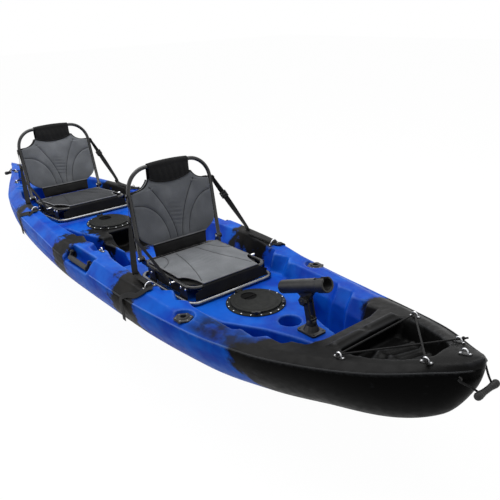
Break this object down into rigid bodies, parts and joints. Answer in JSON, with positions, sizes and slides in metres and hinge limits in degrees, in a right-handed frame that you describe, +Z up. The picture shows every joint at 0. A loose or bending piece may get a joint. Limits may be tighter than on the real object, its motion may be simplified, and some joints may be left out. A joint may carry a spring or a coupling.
{
  "type": "sit-on-top tandem fishing kayak",
  "caption": "Sit-on-top tandem fishing kayak with folding frame seats, round deck hatches, a rod holder, shock cord wells and carry handles.",
  "frame": {"origin": "on the ground under the middle of the hull's length, at the bottom centre of the bounding box", "axes": "+X to the bow, +Y to port, +Z up"},
  "size_m": [3.754, 0.8526, 0.7841],
  "materials": {
    "hull_plastic": "rotomoulded polyethylene, satin, with dark mottled patches",
    "black_plastic": "satin moulded plastic",
    "lid_plastic": "fine grained moulded plastic",
    "steel": "bright stainless",
    "gasket_rubber": "soft seal",
    "cord": "braided cover",
    "aluminium_tube": "satin anodised",
    "black_tube": "black powder coat",
    "grey_fabric": "quilted woven fabric",
    "black_fabric": "woven fabric",
    "webbing": "ribbed webbing"
  },
  "bodies": {
    "hull": {"hull": "hull_plastic", "front_hatch_ring": "lid_plastic", "rear_hatch_ring": "lid_plastic", "hatch_screws": "steel", "front_hatch_seal": "gasket_rubber", "rear_hatch_seal": "gasket_rubber", "pad_eyes": "black_plastic", "pad_eye_loops": "steel", "pad_eye_screws": "steel", "bow_bungee": "cord", "stern_bungee": "cord", "handle_pins": "steel", "accessory_ports": "black_plastic", "port_screws": "steel", "rod_base": "black_plastic", "rod_screws": "steel", "front_skid": "aluminium_tube", "front_seat_base": "black_tube", "front_gussets": "black_plastic", "front_seat_bolts": "steel", "front_sling": "black_fabric", "front_seat_pad": "grey_fabric", "front_tie_straps": "webbing", "front_limit_straps": "webbing", "front_buckles": "black_plastic", "rear_skid": "aluminium_tube", "rear_seat_base": "black_tube", "rear_gussets": "black_plastic", "rear_seat_bolts": "steel", "rear_sling": "black_fabric", "rear_seat_pad": "grey_fabric", "rear_tie_straps": "webbing", "rear_limit_straps": "webbing", "rear_buckles": "black_plastic"},
    "front_backrest": {"front_back_frame": "black_tube", "front_back_pad": "grey_fabric", "front_head_panel": "black_fabric", "front_lumbar": "black_fabric"},
    "rear_backrest": {"rear_back_frame": "black_tube", "rear_back_pad": "grey_fabric", "rear_head_panel": "black_fabric", "rear_lumbar": "black_fabric"},
    "front_lid": {"front_hatch_lid": "lid_plastic"},
    "rear_lid": {"rear_hatch_lid": "lid_plastic"},
    "front_latch_port": {"front_latch_port": "black_plastic"},
    "front_latch_starboard": {"front_latch_starboard": "black_plastic"},
    "rear_latch_port": {"rear_latch_port": "black_plastic"},
    "rear_latch_starboard": {"rear_latch_starboard": "black_plastic"},
    "rod_swivel": {"rod_swivel": "black_plastic"},
    "rod_tube": {"rod_tube": "black_plastic"},
    "rod_knob": {"rod_knob": "black_plastic"},
    "bow_toggle": {"bow_toggle": "black_plastic", "bow_toggle_cord": "cord"},
    "stern_toggle": {"stern_toggle": "black_plastic", "stern_toggle_cord": "cord"},
    "port_handle": {"port_handle": "black_plastic"},
    "starboard_handle": {"starboard_handle": "black_plastic"},
    "drain_plug": {"drain_plug": "black_plastic"}
  },
  "joints": [
    {"name": "front_backrest_fold", "type": "hinge", "parent": "hull", "child": "front_backrest", "pos_m": [0.34, 0, 0.391], "axis": [0, 1, 0], "range_deg": [0, 85], "deforming": ["front_tie_straps", "front_limit_straps", "front_buckles"]},
    {"name": "rear_backrest_fold", "type": "hinge", "parent": "hull", "child": "rear_backrest", "pos_m": [-0.91188, 0, 0.39324], "axis": [0, 1, 0], "range_deg": [0, 85], "deforming": ["rear_tie_straps", "rear_limit_straps", "rear_buckles"]},
    {"name": "front_lid_hinge", "type": "hinge", "parent": "hull", "child": "front_lid", "pos_m": [0.756, 0, 0.311], "axis": [0, -1, 0], "range_deg": [0, 85]},
    {"name": "rear_lid_hinge", "type": "hinge", "parent": "hull", "child": "rear_lid", "pos_m": [-0.489, 0, 0.339], "axis": [0, -1, 0], "range_deg": [0, 85]},
    {"name": "front_latch_port_turn", "type": "hinge", "parent": "hull", "child": "front_latch_port", "pos_m": [0.95256, 0.07264, 0.31], "axis": [0, 0, 1], "range_deg": [0, 90]},
    {"name": "front_latch_starboard_turn", "type": "hinge", "parent": "hull", "child": "front_latch_starboard", "pos_m": [0.95256, -0.07264, 0.31], "axis": [0, 0, -1], "range_deg": [0, 90]},
    {"name": "rear_latch_port_turn", "type": "hinge", "parent": "hull", "child": "rear_latch_port", "pos_m": [-0.29244, 0.07264, 0.338], "axis": [0, 0, 1], "range_deg": [0, 90]},
    {"name": "rear_latch_starboard_turn", "type": "hinge", "parent": "hull", "child": "rear_latch_starboard", "pos_m": [-0.29244, -0.07264, 0.338], "axis": [0, 0, -1], "range_deg": [0, 90]},
    {"name": "rod_swivel_turn", "type": "hinge", "parent": "hull", "child": "rod_swivel", "pos_m": [1.18, 0, 0.32], "axis": [0, 0, 1], "continuous": true},
    {"name": "rod_tube_tilt", "type": "hinge", "parent": "rod_swivel", "child": "rod_tube", "pos_m": [1.16, 0, 0.425], "axis": [0, -1, 0], "range_deg": [-20, 30]},
    {"name": "rod_knob_turn", "type": "hinge", "parent": "rod_swivel", "child": "rod_knob", "pos_m": [1.16, 0, 0.425], "axis": [0, 1, 0], "continuous": true},
    {"name": "bow_toggle_swing", "type": "hinge", "parent": "hull", "child": "bow_toggle", "pos_m": [1.812, 0, 0.44], "axis": [0, -1, 0], "range_deg": [0, 70]},
    {"name": "stern_toggle_swing", "type": "hinge", "parent": "hull", "child": "stern_toggle", "pos_m": [-1.808, 0, 0.368], "axis": [0, 1, 0], "range_deg": [0, 60]},
    {"name": "port_handle_swing", "type": "hinge", "parent": "hull", "child": "port_handle", "pos_m": [0.097, 0.388, 0.378], "axis": [1, 0, 0], "range_deg": [0, 110]},
    {"name": "starboard_handle_swing", "type": "hinge", "parent": "hull", "child": "starboard_handle", "pos_m": [0.097, -0.388, 0.378], "axis": [-1, 0, 0], "range_deg": [0, 110]},
    {"name": "drain_plug_turn", "type": "hinge", "parent": "hull", "child": "drain_plug", "pos_m": [-1.7, 0, 0.4127], "axis": [0, 0, 1], "continuous": true}
  ]
}
